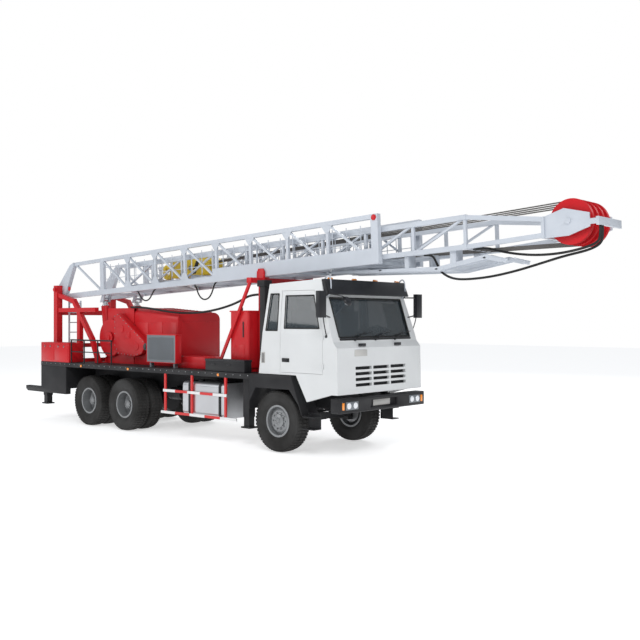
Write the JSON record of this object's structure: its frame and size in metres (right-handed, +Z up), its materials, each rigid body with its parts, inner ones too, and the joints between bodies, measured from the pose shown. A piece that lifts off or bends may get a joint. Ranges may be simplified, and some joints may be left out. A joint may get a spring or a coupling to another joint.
{
  "type": "workover rig",
  "caption": "Truck-mounted workover rig with a white forward cab, red drawworks and a telescoping lattice mast lying over the cab.",
  "frame": {"origin": "centre of the bounding box on the floor plane under the tyres", "axes": "+X forward along the carrier, +Y to its left, +Z up"},
  "size_m": [14.3327, 2.94, 4.1862],
  "materials": {
    "block_yellow": "gloss",
    "cab_trim": "matte",
    "cab_white": "gloss",
    "clear_glass": "gloss",
    "cooler_grey": "satin",
    "engine_cast": "matte",
    "frame_black": "satin",
    "guard_stripe": "gloss",
    "mast_white": "gloss",
    "mirror_black": "gloss",
    "rig_red": "gloss",
    "rim_grey": "satin",
    "rod_chrome": "polished",
    "tank_silver": "brushed",
    "tyre_rubber": "matte"
  },
  "bodies": {
    "carrier": {"chassis_frame": "frame_black", "deck": "frame_black", "front_axle": "frame_black", "rear_axles": "frame_black", "engine_block": "engine_cast", "cab_shell": "cab_white", "cab_glass": "clear_glass", "cab_interior": "cab_trim", "bumper": "frame_black", "mirrors": "mirror_black", "fenders": "frame_black", "snorkel": "frame_black", "fuel_tank": "tank_silver", "side_guards": "guard_stripe", "tool_boxes": "rig_red", "tail_frame": "frame_black", "jack_housings": "frame_black", "mast_base": "rig_red", "front_support": "rig_red", "hood": "rig_red", "drawworks_frame": "rig_red", "drawworks_guards": "rig_red", "oil_cooler": "cooler_grey", "hydraulic_tank": "rig_red", "battery_box": "frame_black", "handrails": "frame_black"},
    "knuckle_r": {"knuckle_r": "frame_black"},
    "front_wheel_r": {"tyre_front_r": "tyre_rubber", "rim_front_r": "rim_grey"},
    "mid_wheels_r": {"tyres_mid_r": "tyre_rubber", "rims_mid_r": "rim_grey"},
    "rear_wheels_r": {"tyres_rear_r": "tyre_rubber", "rims_rear_r": "rim_grey"},
    "door_r": {"door_r": "cab_white", "door_glass_r": "clear_glass"},
    "jack_rear_r": {"jack_leg_rear_r": "frame_black"},
    "jack_front_r": {"jack_leg_front_r": "frame_black"},
    "knuckle_l": {"knuckle_l": "frame_black"},
    "front_wheel_l": {"tyre_front_l": "tyre_rubber", "rim_front_l": "rim_grey"},
    "mid_wheels_l": {"tyres_mid_l": "tyre_rubber", "rims_mid_l": "rim_grey"},
    "rear_wheels_l": {"tyres_rear_l": "tyre_rubber", "rims_rear_l": "rim_grey"},
    "door_l": {"door_l": "cab_white", "door_glass_l": "clear_glass"},
    "jack_rear_l": {"jack_leg_rear_l": "frame_black"},
    "jack_front_l": {"jack_leg_front_l": "frame_black"},
    "mast_lower": {"mast_lower": "mast_white"},
    "mast_upper": {"mast_upper": "mast_white", "crown_frame": "rig_red", "hook_block": "block_yellow"},
    "crown_sheaves": {"crown_sheaves": "rig_red"},
    "ram_barrels": {"ram_barrels": "rig_red"},
    "ram_stage_1": {"ram_stage_1": "rod_chrome"},
    "ram_rods": {"ram_rods": "rod_chrome"}
  },
  "joints": [
    {"name": "steer_r", "type": "hinge", "parent": "carrier", "child": "knuckle_r", "pos_m": [1.475, -0.83, 0.562], "axis": [0, 0, 1], "range_deg": [-30, 30]},
    {"name": "spin_front_r", "type": "hinge", "parent": "knuckle_r", "child": "front_wheel_r", "pos_m": [1.475, -1.01, 0.562], "axis": [0, 1, 0], "continuous": true},
    {"name": "spin_mid_r", "type": "hinge", "parent": "carrier", "child": "mid_wheels_r", "pos_m": [-3.125, -0.887, 0.562], "axis": [0, 1, 0], "continuous": true},
    {"name": "spin_rear_r", "type": "hinge", "parent": "carrier", "child": "rear_wheels_r", "pos_m": [-4.475, -0.887, 0.562], "axis": [0, 1, 0], "continuous": true},
    {"name": "door_open_r", "type": "hinge", "parent": "carrier", "child": "door_r", "pos_m": [2.637, -1.214, 2], "axis": [0, 0, 1], "range_deg": [0, 68]},
    {"name": "jack_down_rear_r", "type": "slide", "parent": "carrier", "child": "jack_rear_r", "axis": [0, 0, -1], "range_m": [0, 0.34]},
    {"name": "jack_down_front_r", "type": "slide", "parent": "carrier", "child": "jack_front_r", "axis": [0, 0, -1], "range_m": [0, 0.34]},
    {"name": "steer_l", "type": "hinge", "parent": "carrier", "child": "knuckle_l", "pos_m": [1.475, 0.83, 0.562], "axis": [0, 0, 1], "range_deg": [-30, 30]},
    {"name": "spin_front_l", "type": "hinge", "parent": "knuckle_l", "child": "front_wheel_l", "pos_m": [1.475, 1.01, 0.562], "axis": [0, 1, 0], "continuous": true},
    {"name": "spin_mid_l", "type": "hinge", "parent": "carrier", "child": "mid_wheels_l", "pos_m": [-3.125, 0.887, 0.562], "axis": [0, 1, 0], "continuous": true},
    {"name": "spin_rear_l", "type": "hinge", "parent": "carrier", "child": "rear_wheels_l", "pos_m": [-4.475, 0.887, 0.562], "axis": [0, 1, 0], "continuous": true},
    {"name": "door_open_l", "type": "hinge", "parent": "carrier", "child": "door_l", "pos_m": [2.637, 1.214, 2], "axis": [0, 0, -1], "range_deg": [0, 68]},
    {"name": "jack_down_rear_l", "type": "slide", "parent": "carrier", "child": "jack_rear_l", "axis": [0, 0, -1], "range_m": [0, 0.34]},
    {"name": "jack_down_front_l", "type": "slide", "parent": "carrier", "child": "jack_front_l", "axis": [0, 0, -1], "range_m": [0, 0.34]},
    {"name": "mast_raise", "type": "hinge", "parent": "carrier", "child": "mast_lower", "pos_m": [-6.445, 0, 3.12], "axis": [0, -1, 0], "range_deg": [0, 91]},
    {"name": "mast_extend", "type": "slide", "parent": "mast_lower", "child": "mast_upper", "axis": [0.999, 0, 0.0454], "range_m": [0, 6]},
    {"name": "crown_spin", "type": "hinge", "parent": "mast_upper", "child": "crown_sheaves", "pos_m": [6.68675, 0, 3.82042], "axis": [0, 1, 0], "continuous": true},
    {"name": "ram_tilt", "type": "hinge", "parent": "carrier", "child": "ram_barrels", "pos_m": [-4.725, 0, 1.5], "axis": [0, -1, 0], "range_deg": [0, 16.69]},
    {"name": "ram_slide_1", "type": "slide", "parent": "ram_barrels", "child": "ram_stage_1", "axis": [-0.1503, 0, 0.9886], "range_m": [0, 1.04918]},
    {"name": "ram_slide_2", "type": "slide", "parent": "ram_stage_1", "child": "ram_rods", "axis": [-0.1503, 0, 0.9886], "range_m": [0, 1.04918]}
  ],
  "couplings": [
    {"joint": "steer_l", "follows": "steer_r", "ratio": 1},
    {"joint": "ram_tilt", "follows": "mast_raise", "ratio": 0.18327},
    {"joint": "ram_slide_1", "follows": "mast_raise", "m_per_rad": 0.66027},
    {"joint": "ram_slide_2", "follows": "mast_raise", "m_per_rad": 0.66027}
  ]
}
